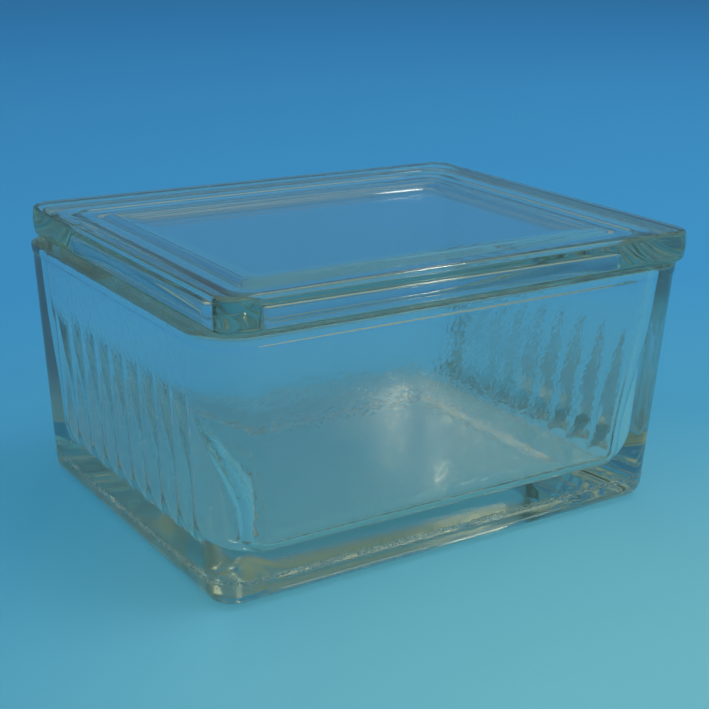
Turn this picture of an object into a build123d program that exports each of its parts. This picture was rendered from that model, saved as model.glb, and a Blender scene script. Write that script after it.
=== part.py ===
from build123d import *
import math
import os

# Slide staining jar: a pressed glass trough for microscope slides, and its loose glass lid.
# Two separate pieces, each pressed in one.
# +Z is up, +X runs along the jar, and the origin is the middle of the underside.
# A slide stands on its long edge, with one short end in a groove of each end wall.

# ---- driving dimensions, in millimetres and degrees ----

# trough, outside
bottom_length = 83.3
bottom_width = 64.0
jar_height = 41.6
outer_draft = 3.5
outer_corner = 4.6
foot_radius = 2.8
rim_bead_height = 2.0
rim_bead_proud = 0.3
rim_bead_slope = 0.6
rim_edge_break = 0.3

# the shallow panel recessed under the trough, inside its foot ring
recess_inset = 12.3
recess_depth = 0.5
recess_slope = 50.0
recess_corner = 2.0

# trough, inside
side_wall = 3.5
end_wall = 3.3
inner_draft = 3.3
room_corner = 4.9
base_thickness = 6.9
floor_fillet = 2.8

# the end walls swell into the room towards the floor
swell_depth = 3.2
swell_starts_below_rim = 8.6
swell_full_above_floor = 6.2
swell_bend_tangent = 3.0

# upright slide grooves in the two end walls
groove_pitch = 5.3
groove_side_margin = 4.6
groove_root_radius = 1.1
groove_root_clearance = 0.02
groove_flank_angle = 18.0
rib_crest_round = 0.6

# lid
lid_thickness = 5.5
lid_inset_ends = 0.7
lid_overhang_sides = 0.35
lid_corner = 3.6
lid_top_round = 0.8
lid_bottom_round = 1.4
parting_height = 3.0
parting_draft = 3.0

# the ring under the lid that drops into the mouth, and the pocket inside it
ring_depth = 2.4
ring_gap_ends = 3.1
ring_gap_sides = 1.65
ring_corner = 4.0
ring_draft = 5.0
ring_edge_chamfer = 0.5
pocket_inset_ends = 3.1
pocket_inset_sides = 4.0
pocket_rise = 1.5
pocket_draft = 22.0
pocket_corner = 2.2

# where the loose lid has been left on the rim, from the middle
lid_shift_x = 0.94
lid_shift_y = 0.42

# how far a cutting or joining block runs past the face it works on
overrun = 1.0


def spread(height, draft):
    """How far a face that leans by the draft moves sideways over a height."""
    return height * math.tan(math.radians(draft))


# ---- sizes that follow ----
rim_length = bottom_length + 2 * spread(jar_height, outer_draft)
rim_width = bottom_width + 2 * spread(jar_height, outer_draft)
rim_corner = outer_corner + spread(jar_height, outer_draft)
mouth_length = rim_length - 2 * end_wall
mouth_width = rim_width - 2 * side_wall
swell_top = jar_height - swell_starts_below_rim
swell_full = base_thickness + swell_full_above_floor
swell_slope = math.atan2(swell_depth, swell_top - swell_full - 2 * swell_bend_tangent)
swell_bend_radius = swell_bend_tangent / math.tan(swell_slope / 2)
groove_toe_radius = swell_depth + floor_fillet + 0.4
lid_length = rim_length - 2 * lid_inset_ends
lid_width = rim_width + 2 * lid_overhang_sides
ring_length = mouth_length - 2 * ring_gap_ends
ring_width = mouth_width - 2 * ring_gap_sides


def top_edges(solid):
    return solid.faces().sort_by(Axis.Z)[-1].edges()


def bottom_edges(solid):
    return solid.faces().sort_by(Axis.Z)[0].edges()


def wall_x(height):
    """Distance of an end wall's plain inner face from the middle of the jar, at a height."""
    return mouth_length / 2 - spread(jar_height - height, inner_draft)


def wall_y(height):
    """Distance of a side wall's inner face from the middle of the jar, at a height."""
    return mouth_width / 2 - spread(jar_height - height, inner_draft)


def trough_outside():
    """The trough before it is hollowed: a drafted block with a rounded foot and a rim bead."""
    outline = RectangleRounded(bottom_length, bottom_width, outer_corner)
    block = extrude(outline, jar_height, taper=-outer_draft)
    block = fillet(bottom_edges(block), foot_radius)
    bead_outline = RectangleRounded(
        rim_length + 2 * rim_bead_proud,
        rim_width + 2 * rim_bead_proud,
        rim_corner + rim_bead_proud,
    )
    bead = Pos(0, 0, jar_height - rim_bead_height) * extrude(bead_outline, rim_bead_height)
    bead = chamfer(bottom_edges(bead), rim_bead_slope, rim_bead_proud)
    return block + bead


def underside_recess():
    """The shallow panel under the base, with sloping sides."""
    outline = RectangleRounded(
        bottom_length - 2 * recess_inset,
        bottom_width - 2 * recess_inset,
        recess_corner,
    )
    return extrude(outline, recess_depth, taper=recess_slope)


def end_wall_line():
    """The +X end wall's inner face seen from the side, from the floor up past the rim: the
    swollen part, a slope that thins it and the plain part, with both bends rounded."""
    low_bend = swell_full + swell_bend_tangent
    high_bend = swell_top - swell_bend_tangent
    over = jar_height + overrun
    return FilletPolyline(
        (wall_x(base_thickness) - swell_depth, base_thickness),
        (wall_x(low_bend) - swell_depth, low_bend),
        (wall_x(high_bend), high_bend),
        (wall_x(over), over),
        radius=swell_bend_radius,
    )


def room():
    """The hollow inside without its grooves: what the side view and the end view have in
    common, with its upright corners rounded and then the edge of its floor."""
    over = jar_height + overrun
    line = end_wall_line()
    back = Polyline(line @ 1, (0, over), (0, base_thickness), line @ 0)
    half = extrude(Plane.XZ * make_face([line, back]), mouth_width, both=True)
    low = wall_y(base_thickness)
    high = wall_y(over)
    end_view = make_face(
        Polyline((-low, base_thickness), (low, base_thickness), (high, over), (-high, over), close=True)
    )
    block = (half + half.rotate(Axis.Z, 180)) & extrude(Plane.YZ * end_view, mouth_length, both=True)
    upright = [edge for edge in block.edges() if edge.bounding_box().size.Z > overrun / 10]
    block = fillet(upright, room_corner)
    return fillet(bottom_edges(block), floor_fillet)


def groove_side(lip_slope, rise):
    """One half of a groove's outline, from its deepest point to the open: a round root,
    a straight flank, a round lip that stops at lip_slope from the wall's line, and a short
    straight run that rises past the swollen face. Local +X points into the room."""
    angle = math.radians(groove_flank_angle)
    slope = math.radians(lip_slope)
    root = groove_root_radius
    lip = rib_crest_round
    deepest = groove_root_clearance
    touch = (deepest + root * (1 - math.sin(angle)), root * math.cos(angle))
    mid_turn = (math.pi / 2 - angle) / 2
    root_mid = (deepest + root * (1 - math.cos(mid_turn)), root * math.sin(mid_turn))
    # the lip's centre sits one radius behind the crest line and one radius from the flank
    centre_x = swell_depth - lip
    reach = centre_x - touch[0]
    centre_y = touch[1] + reach * math.tan(angle) + lip / math.cos(angle)

    def lip_point(from_wall):
        return (centre_x + lip * math.cos(from_wall), centre_y - lip * math.sin(from_wall))

    lip_start = lip_point(math.pi / 2 - angle)
    lip_mid = lip_point((math.pi / 2 - angle + slope) / 2)
    lip_end = lip_point(slope)
    open_x = swell_depth + rise
    open_y = lip_end[1] + (open_x - lip_end[0]) / math.tan(slope)
    return [(deepest, 0), root_mid, touch, lip_start, lip_mid, lip_end, (open_x, open_y)]


def groove_section(left_slope, left_rise, right_slope, right_rise):
    """The whole outline of one groove, seen along the wall."""
    edge = []
    ends = []
    for side, slope, rise in ((1, left_slope, left_rise), (-1, right_slope, right_rise)):
        points = [(x, side * y) for x, y in groove_side(slope, rise)]
        edge.append(ThreePointArc(points[0], points[1], points[2]))
        edge.append(Line(points[2], points[3]))
        edge.append(ThreePointArc(points[3], points[4], points[5]))
        edge.append(Line(points[5], points[6]))
        ends.append(points[6])
    open_x = max(ends[0][0], ends[1][0]) + overrun / 2
    edge.append(Line(ends[0], (open_x, ends[0][1])))
    edge.append(Line((open_x, ends[0][1]), (open_x, ends[1][1])))
    edge.append(Line((open_x, ends[1][1]), ends[1]))
    return make_face(edge)


def groove_limit():
    """Where a groove may cut at the +X end, seen from the side: in front of the wall's plain
    face, above the floor, and over a rounded toe that brings the groove out onto the floor."""
    lean = math.radians(inner_draft)
    behind = overrun / 10
    floor = base_thickness + overrun / 20
    toe = groove_toe_radius
    # the toe's centre is one radius above the floor line and one radius in front of the wall line
    centre_z = floor + toe
    centre_x = wall_x(centre_z) + behind - toe / math.cos(lean)
    wall_touch = (centre_x + toe * math.cos(lean), centre_z - toe * math.sin(lean))
    middle = (math.pi / 2 - lean) / 2 + lean
    toe_mid = (centre_x + toe * math.cos(middle), centre_z - toe * math.sin(middle))
    front = wall_x(floor) - 3 * swell_depth
    edge = [
        Line((wall_x(jar_height) + behind, jar_height), wall_touch),
        ThreePointArc(wall_touch, toe_mid, (centre_x, floor)),
        Line((centre_x, floor), (front, floor)),
        Line((front, floor), (front, jar_height)),
        Line((front, jar_height), (wall_x(jar_height) + behind, jar_height)),
    ]
    return extrude(Plane.XZ * make_face(edge), mouth_width / 2, both=True)


def grooves():
    """The row of groove cutters for the +X end, leaning with the wall."""
    floor_width = 2 * wall_y(base_thickness)
    groove_count = int((floor_width - 2 * groove_side_margin) / groove_pitch) + 1
    lean = math.radians(inner_draft)
    low = base_thickness - overrun
    place = Plane(
        origin=(wall_x(low), 0, low),
        x_dir=(-math.cos(lean), 0, math.sin(lean)),
        z_dir=(math.sin(lean), 0, math.cos(lean)),
    )
    crest = (10.0, 0.1)
    corner = (45.0, 0.9)
    limit = groove_limit()
    first = -groove_pitch * (groove_count - 1) / 2
    cutters = []
    for number in range(groove_count):
        left = corner if number == groove_count - 1 else crest
        right = corner if number == 0 else crest
        section = Pos(0, first + number * groove_pitch) * groove_section(*left, *right)
        cutters.append(extrude(place * section, jar_height - base_thickness) & limit)
    return cutters


def make_jar():
    """The trough: outside less the room, its grooves at both ends and the recess underneath."""
    hollow = room()
    for cutter in grooves():
        hollow += cutter
        hollow += cutter.rotate(Axis.Z, 180)
    jar = trough_outside() - hollow - underside_recess()
    return chamfer(top_edges(jar), rim_edge_break)


def make_lid():
    """The lid: a flange widest at its parting line, with a hollow locating ring underneath."""
    widest = RectangleRounded(lid_length, lid_width, lid_corner)
    upper = extrude(widest, lid_thickness - parting_height, taper=parting_draft)
    lower = extrude(widest, -parting_height, taper=parting_draft)
    upper = fillet(top_edges(upper), lid_top_round)
    lower = fillet(bottom_edges(lower), lid_bottom_round)
    under = Pos(0, 0, -parting_height)
    ring_outline = RectangleRounded(ring_length, ring_width, ring_corner)
    ring = extrude(under * ring_outline, -ring_depth, taper=ring_draft)
    ring = chamfer(bottom_edges(ring), ring_edge_chamfer)
    pocket_outline = RectangleRounded(
        ring_length - 2 * pocket_inset_ends,
        ring_width - 2 * pocket_inset_sides,
        pocket_corner,
    )
    ring_bottom = under * Pos(0, 0, -ring_depth)
    pocket = extrude(ring_bottom * pocket_outline, ring_depth + pocket_rise, taper=pocket_draft)
    lid = upper + lower + ring - pocket
    return Pos(lid_shift_x, lid_shift_y, jar_height + parting_height) * lid


os.makedirs("parts", exist_ok=True)
pieces = {"jar": make_jar(), "lid": make_lid()}
for name, piece in pieces.items():
    export_step(piece, f"parts/{name}.step")
    size = piece.bounding_box().size
    print(name, "size", round(size.X, 2), round(size.Y, 2), round(size.Z, 2), "volume", round(piece.volume))
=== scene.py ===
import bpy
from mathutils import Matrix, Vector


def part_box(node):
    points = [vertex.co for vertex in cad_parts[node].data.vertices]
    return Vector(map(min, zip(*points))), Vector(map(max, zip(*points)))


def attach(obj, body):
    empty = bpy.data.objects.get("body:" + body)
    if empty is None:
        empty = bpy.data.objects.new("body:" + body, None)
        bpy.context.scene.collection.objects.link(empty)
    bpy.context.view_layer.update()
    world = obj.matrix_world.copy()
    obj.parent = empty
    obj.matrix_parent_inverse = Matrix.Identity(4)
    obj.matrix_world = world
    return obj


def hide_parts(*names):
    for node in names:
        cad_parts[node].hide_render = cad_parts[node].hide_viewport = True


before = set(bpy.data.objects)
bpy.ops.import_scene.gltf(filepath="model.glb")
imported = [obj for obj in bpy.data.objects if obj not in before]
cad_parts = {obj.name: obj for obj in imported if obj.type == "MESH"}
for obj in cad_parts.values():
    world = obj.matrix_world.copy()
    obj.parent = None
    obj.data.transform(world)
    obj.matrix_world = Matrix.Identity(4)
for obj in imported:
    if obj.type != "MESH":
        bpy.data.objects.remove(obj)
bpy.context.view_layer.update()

# %% [markdown]
# # A glass jar for staining microscope slides
# The object is two loose pieces of pressed glass. A trough holds ten slides on their long
# edges, each between a groove in one end wall and the groove opposite. A flat lid rests on
# the rim, and a ring under it keeps it from sliding off.
#
# Clear glass has almost no colour of its own to paint. What is seen in it is light bent by
# its surfaces, so this lesson spends its effort on shape: the lean of the walls, the radius
# of each corner, and the thickness of the base, which guides light like a fibre.

# %% What is used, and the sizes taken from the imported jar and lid
import math

import bpy
import numpy as np
from mathutils import Matrix, Vector

scene = bpy.context.scene
scene.view_settings.view_transform = "Standard"
METRES = 0.001
jar_low, jar_high = (np.array(corner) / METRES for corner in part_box("jar"))
lid_low, lid_high = (np.array(corner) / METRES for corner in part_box("lid"))
lid_shift = (lid_low + lid_high) / 2
print("jar", np.round(jar_high - jar_low, 2), "lid", np.round(lid_high - lid_low, 2), "mm")

# %% [markdown]
# ## Sizes
# All shapes are worked out in millimetres and scaled at the end. The outside comes from the
# packed jar: its height, and the width of the rim inside its small bead. The lean of the
# walls gives the bottom.
#
# Pressed glass needs that lean, or the plunger would not come out. It needs round corners
# too, as hot glass doesn't fill a sharp one.
#
# The lid and the rim are kept a hair's breadth apart. Two glass skins in exactly the same
# place would leave it open which of them a ray of light meets first.

# %% Sizes of the trough
bead_allowance = 0.3
jar_height = jar_high[2]
outer_lean = math.tan(math.radians(3.5))
rim_half_length = jar_high[0] - bead_allowance
rim_half_width = jar_high[1] - bead_allowance
bottom_corner = 4.5
foot_radius = 2.8
bead_height = 2.0
bead_proud = 0.15
edge_round = 0.4
end_wall = 3.3
side_wall = 3.5
inner_lean = math.tan(math.radians(3.3))
room_corner = 6.0
floor_height = 6.9
floor_round = 2.8
recess_inset = 12.3
recess_depth = 0.5
recess_run = 0.4
print("bottom half length", round(rim_half_length - jar_height * outer_lean, 2))

# %% Sizes of the swollen end walls and their grooves
swell_depth = 3.2
swell_top = jar_height - 8.6
swell_full = floor_height + 6.1
corner_tightening = 0.55
groove_count = 10
groove_pitch = 5.3
root_radius = 1.1
root_clearance = 0.02
flank_angle = math.radians(18.0)
lip_round = 0.6
toe_radius = 6.2
print("swelling", round(swell_top, 1), "to", round(swell_full, 1), "mm,", groove_count, "grooves")

# %% Sizes of the lid
lid_half_length, lid_half_width = (lid_high - lid_low)[:2] / 2
lid_top = lid_high[2]
lid_corner = 3.6
parting_height = 3.0
parting_lean = math.tan(math.radians(3.0))
top_round = 0.8
under_round = 1.4
ring_depth = 2.4
ring_gap = np.array([3.1, 1.65])
ring_corner = 4.0
ring_lean = math.tan(math.radians(5.0))
ring_round = 0.7
pocket_inset = np.array([3.1, 4.0])
pocket_run = 1.6
pocket_rise = 1.5
pocket_round = 0.6
air_gap = 0.03
print("lid", round(2 * lid_half_length, 1), "x", round(2 * lid_half_width, 1), "mm")
print("top of the lid at", round(lid_top, 1), "mm")

# %% [markdown]
# ## One outline, many rows
# Every level of both pieces is a rectangle with round corners, given by half length $a$, half
# width $b$ and corner radius $r$. A piece is then a stack of such rows, and the same number
# of points in each row lets the rows be joined into a closed skin.
#
# The points sit where the shape needs them: close together along the end walls, where the
# grooves are, fewer round the corners and fewest along the plain sides.

# %% The outline as a function of place and row
def places(end_length, end_steps, corner_steps, side_steps):
    """Where the points of a quarter outline lie: lengths along the end wall, shares of the
    corner and shares of the side."""
    return {
        "end": np.linspace(0, end_length, end_steps + 1),
        "corner": np.linspace(0, 1, corner_steps + 1)[1:],
        "side": np.linspace(1, 0, side_steps + 1)[1:],
    }


def outline(rows, spots):
    """Points of all rows at once, as X and Y of shape (rows, points).
    On the end wall x = a - r + sqrt(r^2 - c^2), with c = the part of y past b - r.
    On the corner x = a - r + r cos t and y = b - r + r sin t."""
    a, b, r = (values[:, None] for values in rows[:3])
    squeeze = np.minimum(1.0, (b - 0.3) / spots["end"][-1])
    end_y = spots["end"][None] * squeeze
    past = np.clip(end_y - (b - r), 0, r)
    end_x = a - r + np.sqrt(r * r - past * past)
    last_y = end_y[:, -1:]
    straight = np.maximum(b - r - last_y, 0)
    first_angle = np.arcsin(np.clip((last_y - (b - r)) / r, 0, 1))
    along = spots["corner"][None] * (straight + r * (np.pi / 2 - first_angle))
    angle = first_angle + np.maximum(along - straight, 0) / r
    corner_x = np.where(along < straight, a, a - r + r * np.cos(angle))
    corner_y = np.where(along < straight, last_y + along, b - r + r * np.sin(angle))
    side_x = spots["side"][None] * (a - r)
    side_y = np.broadcast_to(b, side_x.shape)
    x = np.hstack([end_x, corner_x, side_x])
    y = np.hstack([end_y, corner_y, side_y])
    full_x = np.hstack([x, -x[:, -2::-1], -x[:, 1:], x[:, -2:0:-1]])
    full_y = np.hstack([y, y[:, -2::-1], -y[:, 1:], -y[:, -2:0:-1]])
    return full_x, full_y


def level(half_length, half_width, corner, height):
    """Rows as an array of half length, half width, corner radius and height."""
    parts = np.broadcast_arrays(*(np.atleast_1d(v).astype(float) for v in
                                  (half_length, half_width, corner, height)))
    rows = np.stack(parts)
    rows[2] = np.maximum(rows[2], 0.2)
    return rows


def towards_middle(row, shares):
    """Copies of a row shrunk by each share, which close a flat face towards its middle."""
    shares = np.asarray(shares, float)
    return level(row[0] * shares, row[1] * shares, row[2] * shares, row[3])


def quarter_turn(steps):
    """Angles from 0 to a quarter turn."""
    return np.linspace(0, math.pi / 2, steps)


# %% [markdown]
# ## From rows to a closed skin
# The rows are joined by four-sided faces, and each end of the stack is closed by a fan of
# triangles to one middle point. If the volume inside comes out negative, the faces look
# inwards and are turned round. Light only bends the right way if they look outwards.

# %% Build a mesh from the rows
def skin(name, x, y, z):
    """A closed mesh through rows of points; the volume is the sum of u . (v x w) / 6."""
    count, points = x.shape
    grid = np.stack([x, y, np.broadcast_to(z[:, None], x.shape)], axis=2)
    ends = [grid[0].mean(axis=0, keepdims=True), grid[-1].mean(axis=0, keepdims=True)]
    corners = np.concatenate([ends[0], grid.reshape(-1, 3), ends[1]]) * METRES
    row = np.arange(count - 1)[:, None] * points + 1
    here = np.arange(points)[None]
    following = (here + 1) % points
    above = row + points
    quads = [row + here, row + following, above + following, above + here]
    quads = np.stack(quads, axis=2).reshape(-1, 4)
    here, following = here[0], following[0]
    top = 1 + (count - 1) * points
    first_fan = np.stack([np.zeros_like(here), 1 + following, 1 + here], axis=1)
    last = np.full_like(here, len(corners) - 1)
    last_fan = np.stack([last, top + here, top + following], axis=1)
    fans = np.concatenate([first_fan, last_fan])
    triangles = np.concatenate([quads[:, [0, 1, 2]], quads[:, [0, 2, 3]], fans])
    u, v, w = (corners[triangles[:, k]] for k in range(3))
    volume = np.einsum("ij,ij->i", u, np.cross(v, w)).sum() / 6
    mesh = bpy.data.meshes.new(name)
    mesh.vertices.add(len(corners))
    mesh.vertices.foreach_set("co", corners.ravel())
    mesh.loops.add(quads.size + fans.size)
    mesh.loops.foreach_set("vertex_index", np.concatenate([quads.ravel(), fans.ravel()]))
    mesh.polygons.add(len(quads) + len(fans))
    starts = np.concatenate([np.arange(len(quads)) * 4, quads.size + np.arange(len(fans)) * 3])
    mesh.polygons.foreach_set("loop_start", starts)
    mesh.polygons.foreach_set("use_smooth", np.ones(len(starts), bool))
    mesh.update(calc_edges=True)
    mesh.validate()
    if volume < 0:
        mesh.flip_normals()
    body = bpy.data.objects.new(name, mesh)
    scene.collection.objects.link(body)
    print(name, "triangles", len(triangles), "volume", round(abs(volume) / METRES**3), "mm3")
    return body


def mark(body, name, values):
    """Stores one number for each point, with 0 on the two middle points."""
    layer = body.data.attributes.new(name, "FLOAT", "POINT")
    layer.data.foreach_set("value", np.concatenate([[0.0], values.ravel(), [0.0]]))


# %% [markdown]
# ## The outside of the trough
# From the middle of the underside the rows run outwards and up. First comes a shallow
# recessed panel, so that the jar stands on a ring near its edge and doesn't rock. Then come
# the round foot, the leaning wall and a small bead under the rim, which stiffens it.
#
# It could also be made by bevelling a box. Rows are used because each radius can then be
# read off, and because a bevel would leave long thin faces that show as streaks in glass.

# %% Rows of the outside
def outside(height, inset=0.0):
    """Rows of the outer wall at a height, moved inwards by the inset."""
    drop = (jar_height - height) * outer_lean
    corner = bottom_corner + height * outer_lean
    return level(
        rim_half_length - drop - inset,
        rim_half_width - drop - inset,
        corner - inset,
        height,
    )


foot = outside(0.0)[:, 0]
recess = (foot[0] - recess_inset, foot[1] - recess_inset)
edge_out = np.array([recess_run + 0.15, recess_run, 0.05, -0.1])
edge_height = np.array([recess_depth, recess_depth - 0.04, 0.04, 0.0])
panel = level(recess[0] - recess_run - 0.3, recess[1] - recess_run - 0.3, 2.0, recess_depth)[:, 0]
turn = quarter_turn(13)
foot_height = foot_radius * (1 - np.cos(turn))
bead_start = jar_height - bead_height
bead_turn = quarter_turn(8)
worn_glint_heights = np.array([3.85, 4.0, 4.6, 4.75])
underside = np.hstack([
    towards_middle(panel, [0.1, 0.35, 0.6, 0.8, 0.92]),
    level(recess[0] - edge_out, recess[1] - edge_out, 2.0, edge_height),
    level(recess[0] + np.array([2.5, 6.0]), recess[1] + np.array([2.5, 6.0]), 2.5, 0.0),
])
outer_wall = np.hstack([
    outside(foot_height, foot_radius * (1 - np.sin(turn))),
    outside(worn_glint_heights),
    outside(np.linspace(5.6, bead_start, 22)),
])
rim_top = jar_height - air_gap
bead = outside(np.array([bead_start + 0.3, bead_start + 0.5, bead_start + 0.8, jar_height - 0.9]))
bead[:3] += bead_proud * np.array([0.2, 0.7, 1.0, 1.0])
rim = outside(rim_top - edge_round * (1 - np.sin(bead_turn)), edge_round * (1 - np.cos(bead_turn)))
rim[:3] += bead_proud
print("rows outside", underside.shape[1] + outer_wall.shape[1] + bead.shape[1] + rim.shape[1])

# %% [markdown]
# ## The room and its grooved ends
# This is the part of the jar that takes the most skill to press. Below a plain strip under
# the rim the end walls swell into the room along an S curve, and the grooves are cut into
# that swelling. Where it fades out, the grooves fade with it, so each ends in a point. At
# the floor each groove runs out over a round toe, so that a slide's corner can't jam.
#
# A groove's depth under the plain wall is a formula of $y$ only: a round root, then a
# straight flank. The swollen wall and the groove are joined by a smooth maximum, and that
# rounds the lip of the groove by itself.

# %% Formulas of the swelling, the groove and the smooth maximum
def swelling(height):
    """S curve 3 t^2 - 2 t^3, from 0 at swell_top to swell_depth at swell_full."""
    t = np.clip((swell_top - height) / (swell_top - swell_full), 0, 1)
    return swell_depth * t * t * (3 - 2 * t)


def groove_depth(y):
    """Distance of a groove's surface from the plain wall, with d = distance from the middle
    of the nearest groove: R - sqrt(R^2 - d^2) in the root, then d / tan(angle) on the flank."""
    outermost = (groove_count - 1) / 2
    number = np.clip(np.round(y / groove_pitch - 0.5) + 0.5, -outermost, outermost)
    d = np.abs(y - number * groove_pitch)
    touch = root_radius * math.cos(flank_angle)
    round_root = root_radius - np.sqrt(root_radius**2 - np.minimum(d, touch) ** 2)
    flank = root_radius * (1 - math.sin(flank_angle)) + (d - touch) / math.tan(flank_angle)
    return root_clearance + np.where(d < touch, round_root, flank)


def smooth_max(p, q, width):
    """max(p, q) with the corner between them rounded over the width:
    p h + q (1 - h) + width h (1 - h), with h = 1/2 + (p - q) / (2 width)."""
    h = np.clip(0.5 + (p - q) / (2 * width), 0, 1)
    return p * h + q * (1 - h) + width * h * (1 - h)


def inside(height, inset=0.0):
    """Rows of the room's wall at a height, moved inwards by the inset, without grooves."""
    lean = (jar_height - height) * inner_lean
    swell = swelling(height)
    return level(
        rim_half_length - end_wall - lean - swell - inset,
        rim_half_width - side_wall - lean - inset,
        room_corner - corner_tightening * swell - inset,
        height,
    )


def cut_grooves(rows, x, y):
    """Moves the end walls out to the bottoms of the grooves."""
    height = rows[3][:, None]
    plain = rim_half_length - end_wall - (jar_height - height) * inner_lean
    rise = np.clip((floor_height + toe_radius - height) / toe_radius, 0, 1)
    toe = toe_radius * (1 - np.sqrt(1 - rise**2))
    depth = smooth_max(groove_depth(y), toe, 0.3)
    swell = swelling(height)
    lip = np.maximum(lip_round * np.minimum(swell, 1.0), 1e-3)
    reach = smooth_max(np.abs(x), plain - depth, lip)
    on_end_wall = np.abs(x) > (rows[0] - rows[2])[:, None] + 1e-6
    reach = np.where(on_end_wall & (swell > 1e-3), np.minimum(reach, plain), np.abs(x))
    return np.sign(x) * reach


# %% Rows of the room
fall = quarter_turn(8)[::-1]
mouth = inside(rim_top - edge_round * (1 - np.sin(fall)), -edge_round * (1 - np.cos(fall)))
lip_rows = (rim[:, -1:] + (mouth[:, :1] - rim[:, -1:]) * np.array([0.33, 0.66]))
wall_heights = np.concatenate([
    np.linspace(rim_top - edge_round, swell_top, 8)[1:-1],
    np.linspace(swell_top, floor_height + floor_round, 56),
])
sink = quarter_turn(13)[1:]
floor_edge = inside(
    floor_height + floor_round * (1 - np.sin(sink)),
    floor_round * (1 - np.cos(sink)),
)
room = np.hstack([inside(wall_heights), floor_edge])
room_floor = towards_middle(floor_edge[:, -1], [0.96, 0.85, 0.65, 0.4, 0.15])

# %% Join all rows into the trough
outer_rows = np.hstack([underside, outer_wall, bead, rim, lip_rows, mouth])
rows = np.hstack([outer_rows, room, room_floor])
spots = places(end_length=26.6, end_steps=112, corner_steps=24, side_steps=8)
x, y = outline(rows, spots)
grooved = slice(outer_rows.shape[1], outer_rows.shape[1] + room.shape[1])
x[grooved] = cut_grooves(rows[:, grooved], x[grooved], y[grooved])
x[grooved.stop:] = x[grooved.stop - 1] * (rows[0, grooved.stop:] / floor_edge[0, -1])[:, None]
y[grooved.stop:] = y[grooved.stop - 1] * (rows[1, grooved.stop:] / floor_edge[1, -1])[:, None]
jar = skin("trough", x, y, rows[3])
inside_share = np.zeros_like(x)
inside_share[grooved.start:] = 1.0
mark(jar, "inside", inside_share)
worn_glint_line = np.zeros_like(x)
first_worn_glint = underside.shape[1] + len(turn)
worn_glint_line[first_worn_glint + 1:first_worn_glint + 3] = 1.0
mark(jar, "worn_glint_line", worn_glint_line)

# %% [markdown]
# ## The lid
# The lid is a flat plate that is widest at its parting line, where the two halves of the
# mould met. Under it a low ring drops into the mouth of the jar with a few millimetres of
# play, and inside the ring the glass is hollowed.
#
# It is a stack of rows again, so that both pieces have equally even skins. The rows run from
# the middle of the pocket down over the ring, out along the underside, up the edge and back
# over the top. A loose lid seldom lies quite in the middle, and the shift at the end is that
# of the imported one.

# %% Rows of the lid
rest_height = jar_height + 0.02
mouth_half = np.array([rim_half_length - end_wall, rim_half_width - side_wall])
ring_half = mouth_half - ring_gap
ring_low = jar_height - ring_depth
pocket_half = ring_half - pocket_inset
pocket_top = jar_height + pocket_rise


def lid_rows(half, outward, corner, height):
    """Rows round a half length and half width, moved outwards by each amount."""
    outward = np.atleast_1d(outward)
    return level(half[0] + outward, half[1] + outward, corner, height)


turn6, turn8 = quarter_turn(6), quarter_turn(8)
ceiling = lid_rows(pocket_half, -pocket_run - 0.3, 1.5, pocket_top)[:, 0]
slope_share = np.linspace(0.2, 0.8, 4)
edge_turn = np.linspace(0.35, math.pi / 2, 8)
pocket = np.hstack([
    towards_middle(ceiling, [0.1, 0.4, 0.7, 0.93]),
    lid_rows(
        pocket_half,
        -pocket_run + pocket_round * (np.sin(turn6[:-1]) - 1) + 0.25,
        1.5,
        pocket_top - pocket_round * (1 - np.cos(turn6[:-1])),
    ),
    lid_rows(
        pocket_half,
        -pocket_run * (1 - slope_share),
        1.8,
        pocket_top + (ring_low - pocket_top) * (0.15 + 0.7 * slope_share),
    ),
    lid_rows(
        pocket_half,
        ring_round * (1 - np.cos(edge_turn)),
        2.2,
        ring_low + ring_round * (1 - np.sin(edge_turn)),
    ),
])
ring_in = ring_depth * ring_lean + ring_round * (1 - np.sin(turn8))
ring_height = ring_low + ring_round * (1 - np.cos(turn8))
ring = np.hstack([
    lid_rows(ring_half, -ring_in, ring_corner - ring_in, ring_height),
    lid_rows(ring_half, [0.0, 0.05], ring_corner, [rest_height - 0.05, rest_height]),
])
lid_half = np.array([lid_half_length, lid_half_width])
under_in = parting_height * parting_lean + under_round * (1 - np.sin(turn8))
flange_half = lid_half - under_in[0]
under_middle = (ring_half + flange_half) / 2
above_in = (lid_top - jar_height - parting_height) * parting_lean + top_round * (1 - np.cos(turn8))
under_height = rest_height + under_round * (1 - np.cos(turn8))
above_height = lid_top - top_round * (1 - np.sin(turn8))
flange = np.hstack([
    level(under_middle[0], under_middle[1], lid_corner, rest_height),
    lid_rows(lid_half, -under_in, lid_corner - 0.5 * under_in, under_height),
    lid_rows(lid_half, 0.0, lid_corner, jar_height + parting_height),
    lid_rows(lid_half, -above_in, lid_corner - 0.5 * above_in, above_height),
])
top_plate = towards_middle(flange[:, -1], [0.97, 0.85, 0.6, 0.35, 0.12])
rows = np.hstack([pocket, ring, flange, top_plate])
x, y = outline(rows, places(end_length=20.0, end_steps=10, corner_steps=28, side_steps=12))
lid = skin("lid_plate", x + lid_shift[0], y + lid_shift[1], rows[3])
for name in ("inside", "worn_glint_line"):
    mark(lid, name, np.zeros_like(x))

# %% [markdown]
# ## Writing a material as a formula
# A shader is a graph of nodes. It reads better as arithmetic, so the small class below wraps
# one output of a node and lets + and * be used on it. Each use adds a Math node.

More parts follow.
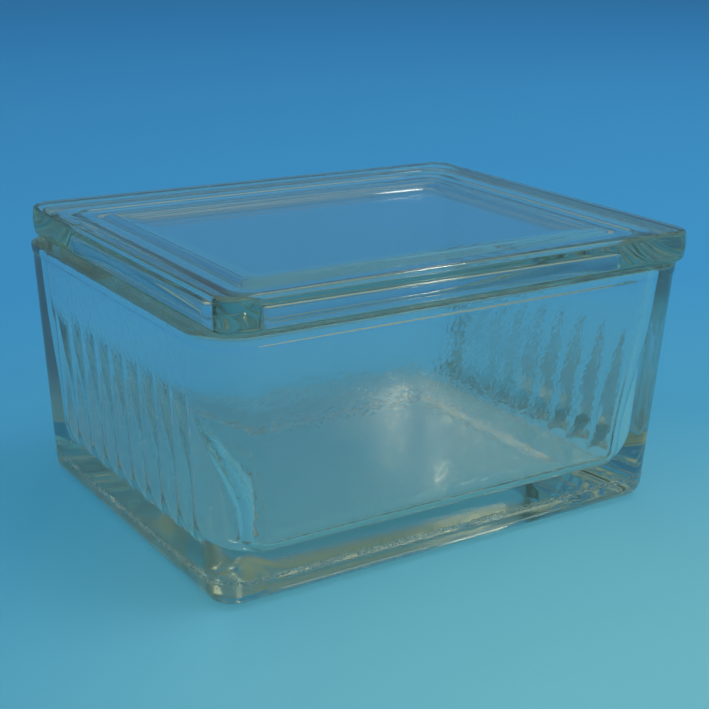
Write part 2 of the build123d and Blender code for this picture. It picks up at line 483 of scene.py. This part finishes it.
# %% A socket that can be calculated with
class Value:
    """One number that varies over the surface: an output of a node in a material."""

    def __init__(self, tree, socket):
        self.tree = tree
        self.socket = socket

    def combined(self, operation, other):
        node = make(self.tree, "ShaderNodeMath", {"operation": operation}, {0: self, 1: other})
        return Value(self.tree, node.outputs[0])

    def __add__(self, other):
        return self.combined("ADD", other)

    def __mul__(self, other):
        return self.combined("MULTIPLY", other)

    __radd__ = __add__
    __rmul__ = __mul__

    def step(self, low, high):
        """0 below low, 1 above high and a smooth step between."""
        values = {"Value": self, "From Min": low, "From Max": high}
        node = make(self.tree, "ShaderNodeMapRange", {"interpolation_type": "SMOOTHSTEP"}, values)
        return Value(self.tree, node.outputs["Result"])


def make(tree, kind, settings=None, values=None):
    """Adds a node, sets its settings first, then links or sets its input values."""
    node = tree.nodes.new(kind)
    for key, setting in (settings or {}).items():
        setattr(node, key, setting)
    for key, value in (values or {}).items():
        if isinstance(value, Value):
            value = value.socket
        if isinstance(value, bpy.types.NodeSocket):
            tree.links.new(value, node.inputs[key])
        else:
            node.inputs[key].default_value = value
    return node


def blank_tree(owner):
    """An empty node tree on a material or a world."""
    owner.use_nodes = True
    owner.node_tree.nodes.clear()
    return owner.node_tree


def screen_colour(red, green, blue, strength=1.0):
    """A colour given as it should look on the screen, 0 to 255, as linear light."""
    share = np.array([red, green, blue]) / 255
    linear = np.where(share <= 0.04045, share / 12.92, ((share + 0.055) / 1.055) ** 2.4)
    return (*(strength * linear), 1.0)


# %% [markdown]
# ## The glass
# Soda-lime glass bends light with an index of about 1.5. A trace of iron tints it grey-green,
# which only shows where light travels a long way through it, so the tint is an absorption
# inside the volume and not a colour on the skin. It is a little denser in the lid, whose
# edges look greener.
#
# A plain glass shader would do for new glass. Here almost all of the light passes, and the
# last two parts in a hundred are scattered, like the faint bloom on glass in long use.
#
# The plunger leaves a finer, duller skin inside than the mould does outside, like the peel
# of an orange. That is a bump on the points marked as inside. The upper edge of the rounded
# foot has spots of wear all round the base, which are rougher and bumped. A pinkish base
# colour painted on the same spots is a painted glint, which makes them a sparkling line.
# Shadow rays pass as if nothing bent them, so that the shadow is soft and pale.

# %% The glass material
def glass(name, peel, tint, density):
    """Clear glass, with peel = height of the orange peel inside, in millimetres.
    height = peel * grain * inside + 0.012 ripple + 0.06 worn_glint,
    with worn_glint = line * step(speckle). Its spots of wear are rougher and bumped, and
    their pinkish base colour is a painted glint."""
    material = bpy.data.materials.new(name)
    tree = blank_tree(material)
    place = make(tree, "ShaderNodeTexCoord").outputs["Object"]

    def noise(scale, detail):
        values = {"Vector": place, "Scale": scale, "Detail": detail}
        return Value(tree, make(tree, "ShaderNodeTexNoise", None, values).outputs[0])

    def attribute(layer):
        node = make(tree, "ShaderNodeAttribute", {"attribute_name": layer})
        return Value(tree, node.outputs["Fac"])

    within = attribute("inside")
    grain = noise(1000.0, 1.5)
    ripple = noise(60.0, 1.0)
    haze = noise(45.0, 4.0).step(0.55, 0.8)
    worn_glint = attribute("worn_glint_line") * noise(1100.0, 3.0).step(0.40, 0.60)
    height = grain * within * peel + ripple * 0.012 + worn_glint * 0.06
    roughness = 0.02 + haze * 0.03 + within * 0.07 + worn_glint * 0.6
    bump = make(tree, "ShaderNodeBump", None, {"Height": height, "Distance": METRES})
    # The pinkish colour on the spots of wear is a painted glint; their roughness and bump are real
    # wear.
    clean_colour, painted_glint_tint = (0.972, 0.98, 0.975, 1.0), (1.0, 0.88, 0.82, 1.0)
    colours = {0: worn_glint, 6: clean_colour, 7: painted_glint_tint}
    blend = make(tree, "ShaderNodeMix", {"data_type": "RGBA"}, colours)
    shine = make(tree, "ShaderNodeBsdfPrincipled", None, {
        "Base Color": blend.outputs[2],
        "Transmission Weight": 0.982,
        "IOR": 1.5,
        "Roughness": roughness,
        "Normal": bump.outputs["Normal"],
    })
    clear = make(tree, "ShaderNodeBsdfTransparent", None, {"Color": (0.93, 0.955, 0.965, 1.0)})
    shadow_ray = make(tree, "ShaderNodeLightPath").outputs["Is Shadow Ray"]
    either = {0: shadow_ray, 1: shine.outputs[0], 2: clear.outputs[0]}
    surface = make(tree, "ShaderNodeMixShader", None, either)
    body = make(tree, "ShaderNodeVolumeAbsorption", None, {"Color": tint, "Density": density})
    whole = {"Surface": surface.outputs[0], "Volume": body.outputs[0]}
    make(tree, "ShaderNodeOutputMaterial", None, whole)
    print(name, "has", len(tree.nodes), "nodes")
    return material


finishes = {
    "jar": glass("trough glass", 0.045, (0.60, 0.68, 0.50, 1.0), 16.0),
    "lid": glass("lid glass", 0.0, (0.62, 0.68, 0.42, 1.0), 18.0),
}
for piece, node in ((jar, "jar"), (lid, "lid")):
    piece.data.materials.append(finishes[node])
    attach(piece, "root")
    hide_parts(node)

# %% [markdown]
# ## The floor
# Clear glass shows its surroundings, so they matter as much as the shape. The floor is light
# blue with a pool of light painted on it round a place a little in front of the jar, so it
# deepens to a darker blue away from there, equally in every direction. A curved sheet of
# paper behind the jar would do the same. A flat floor is kept here, because it looks the
# same from every side. The strength of each colour makes up for the lamp's weaker light
# further out.

# %% Paint the floor
def blend_stops(tree, factor, stops):
    """A colour ramp through (position, colour) stops."""
    ramp = make(tree, "ShaderNodeValToRGB", None, {0: factor})
    elements = ramp.color_ramp.elements
    for position, colour in stops[1:-1]:
        elements.new(position).color = colour
    elements[0].position, elements[0].color = stops[0]
    elements[-1].position, elements[-1].color = stops[-1]
    return ramp.outputs[0]


floor_mesh = bpy.data.meshes.new("floor")
reach = 6.0
floor_corners = [(-reach, -reach, 0), (reach, -reach, 0), (reach, reach, 0), (-reach, reach, 0)]
floor_mesh.from_pydata(floor_corners, [], [(0, 1, 2, 3)])
floor = bpy.data.objects.new("floor", floor_mesh)
scene.collection.objects.link(floor)
floor.location.z = -0.0001
floor_paint = bpy.data.materials.new("floor")
tree = blank_tree(floor_paint)
place = make(tree, "ShaderNodeTexCoord").outputs["Object"]
lit_place = (0.0, -0.12, 0.0)
away = make(tree, "ShaderNodeVectorMath", {"operation": "DISTANCE"}, {0: place, 1: lit_place})
# The ramp is a painted pool of light: lightest blue near lit_place, darker blue further away.
floor_blue_and_painted_light = blend_stops(tree, away.outputs["Value"], [
    (0.05, screen_colour(108, 178, 190, 1.1)),
    (0.08, screen_colour(100, 171, 188, 1.1)),
    (0.14, screen_colour(71, 149, 182, 1.14)),
    (0.26, screen_colour(57, 136, 183, 1.2)),
    (1.0, screen_colour(44, 120, 173, 1.37)),
])
matt = {"Base Color": floor_blue_and_painted_light, "Roughness": 0.9, "Specular IOR Level": 0.1}
paint = make(tree, "ShaderNodeBsdfPrincipled", None, matt)
make(tree, "ShaderNodeOutputMaterial", None, {"Surface": paint.outputs[0]})
floor_mesh.materials.append(floor_paint)
print("floor", 2 * reach, "m wide")

# %% [markdown]
# ## The world round it
# The light that leaves the glass upwards ends here. A modelled room could surround the
# jar, but a plain gradient is enough, and each band of it has one task. Light guided
# through the base comes out a little above the horizon, where a dark blue gives the dark
# band at the bottom of the jar. Edges and ribs turn light further up, where a grey-green
# gives them the look of thick glass.
#
# Diffuse surfaces are lit by an even, nearly white light in place of the gradient, so the
# floor keeps its own colour.

# %% Fill the world with a gradient
world = bpy.data.worlds.new("studio")
scene.world = world
tree = blank_tree(world)
direction = make(tree, "ShaderNodeTexCoord").outputs["Generated"]
upward = make(tree, "ShaderNodeSeparateXYZ", None, {0: direction}).outputs["Z"]
sky = blend_stops(tree, upward, [
    (0.0, screen_colour(47, 128, 181)),
    (0.15, screen_colour(70, 140, 190)),
    (0.30, screen_colour(40, 98, 143)),
    (0.50, screen_colour(75, 130, 150)),
    (0.65, screen_colour(130, 150, 135)),
    (1.0, screen_colour(190, 188, 150)),
])
seen = make(tree, "ShaderNodeBackground", None, {"Color": sky})
even_light = {"Color": (0.9, 0.95, 1.0, 1.0), "Strength": 0.45}
lighting = make(tree, "ShaderNodeBackground", None, even_light)
diffuse_ray = make(tree, "ShaderNodeLightPath").outputs["Is Diffuse Ray"]
either = {0: diffuse_ray, 1: seen.outputs[0], 2: lighting.outputs[0]}
both = make(tree, "ShaderNodeMixShader", None, either)
make(tree, "ShaderNodeOutputWorld", None, {"Surface": both.outputs[0]})
print("world has", len(tree.nodes), "nodes")

# %% [markdown]
# ## The lamps
# A big soft lamp overhead lights the floor and throws the soft shadow. It isn't seen in the
# glass itself. A small lamp makes the white sparks on the rounded edges. A low, warm one
# behind the jar is mirrored at the far end of the inner floor, where the orange peel breaks
# it up. It lights the trough only, so that it draws no streaks across the lid.
#
# Light crosses up to a dozen glass surfaces on its way, and is mirrored at many of them. With
# too few bounces those paths end black, so the limits are raised.

# %% Lamps, and enough bounces for light that crosses many glass surfaces
def lamp(name, location, width, height, power):
    """A rectangular lamp at a place, turned to face the jar."""
    light = bpy.data.lights.new(name, "AREA")
    light.shape = "RECTANGLE"
    light.size, light.size_y = width, height
    light.energy = power
    holder = bpy.data.objects.new(name, light)
    scene.collection.objects.link(holder)
    holder.location = location
    towards_jar = Vector((0.0, 0.0, 0.02)) - holder.location
    holder.rotation_euler = towards_jar.to_track_quat("-Z", "Y").to_euler()
    print("lamp", name, power, "W at", round(towards_jar.length, 2), "m")
    return holder


key = lamp("key", (0.45, -0.3, 1.1), 0.5, 0.5, 8.3)
key.visible_glossy = False
key.visible_transmission = False
lamp("spark", (0.911, 0.764, 1.07), 0.07, 0.07, 0.8)
window = lamp("window", (1.230, 1.608, 0.585), 0.17, 0.08, 2.3)
window.data.color = (1.0, 0.86, 0.5)
lit_by_window = bpy.data.collections.new("lit by the window")
lit_by_window.objects.link(jar)
window.light_linking.receiver_collection = lit_by_window
scene.cycles.max_bounces = 18
scene.cycles.transmission_bounces = 18
scene.cycles.glossy_bounces = 12
scene.cycles.transparent_max_bounces = 18

# %% [markdown]
# ## The camera
# It looks down a little on one corner of the jar, from about a quarter of a metre away, so
# the walls converge strongly. A longer lens further off would show them nearly parallel. The
# angles turn the camera round the upright axis, then down, then a little to the side.

# %% Place the camera
yaw, pitch, roll = (math.radians(angle) for angle in (-33.524, 18.169, 1.233))
back = Vector((math.sin(yaw) * math.cos(pitch), -math.cos(yaw) * math.cos(pitch), math.sin(pitch)))
aim = Vector((1.289, 0.0, 22.972)) * METRES
lens = bpy.data.cameras.new("camera")
lens.sensor_width = 36.0
lens.lens = 71.0
lens.clip_start = 0.01
camera = bpy.data.objects.new("camera", lens)
scene.collection.objects.link(camera)
turned = Matrix.Rotation(roll, 3, back) @ (-back).to_track_quat("-Z", "Y").to_matrix()
distance = 0.238325
camera.matrix_world = Matrix.Translation(aim + back * distance) @ turned.to_4x4()
scene.camera = camera
print("camera", round(distance, 3), "m away")
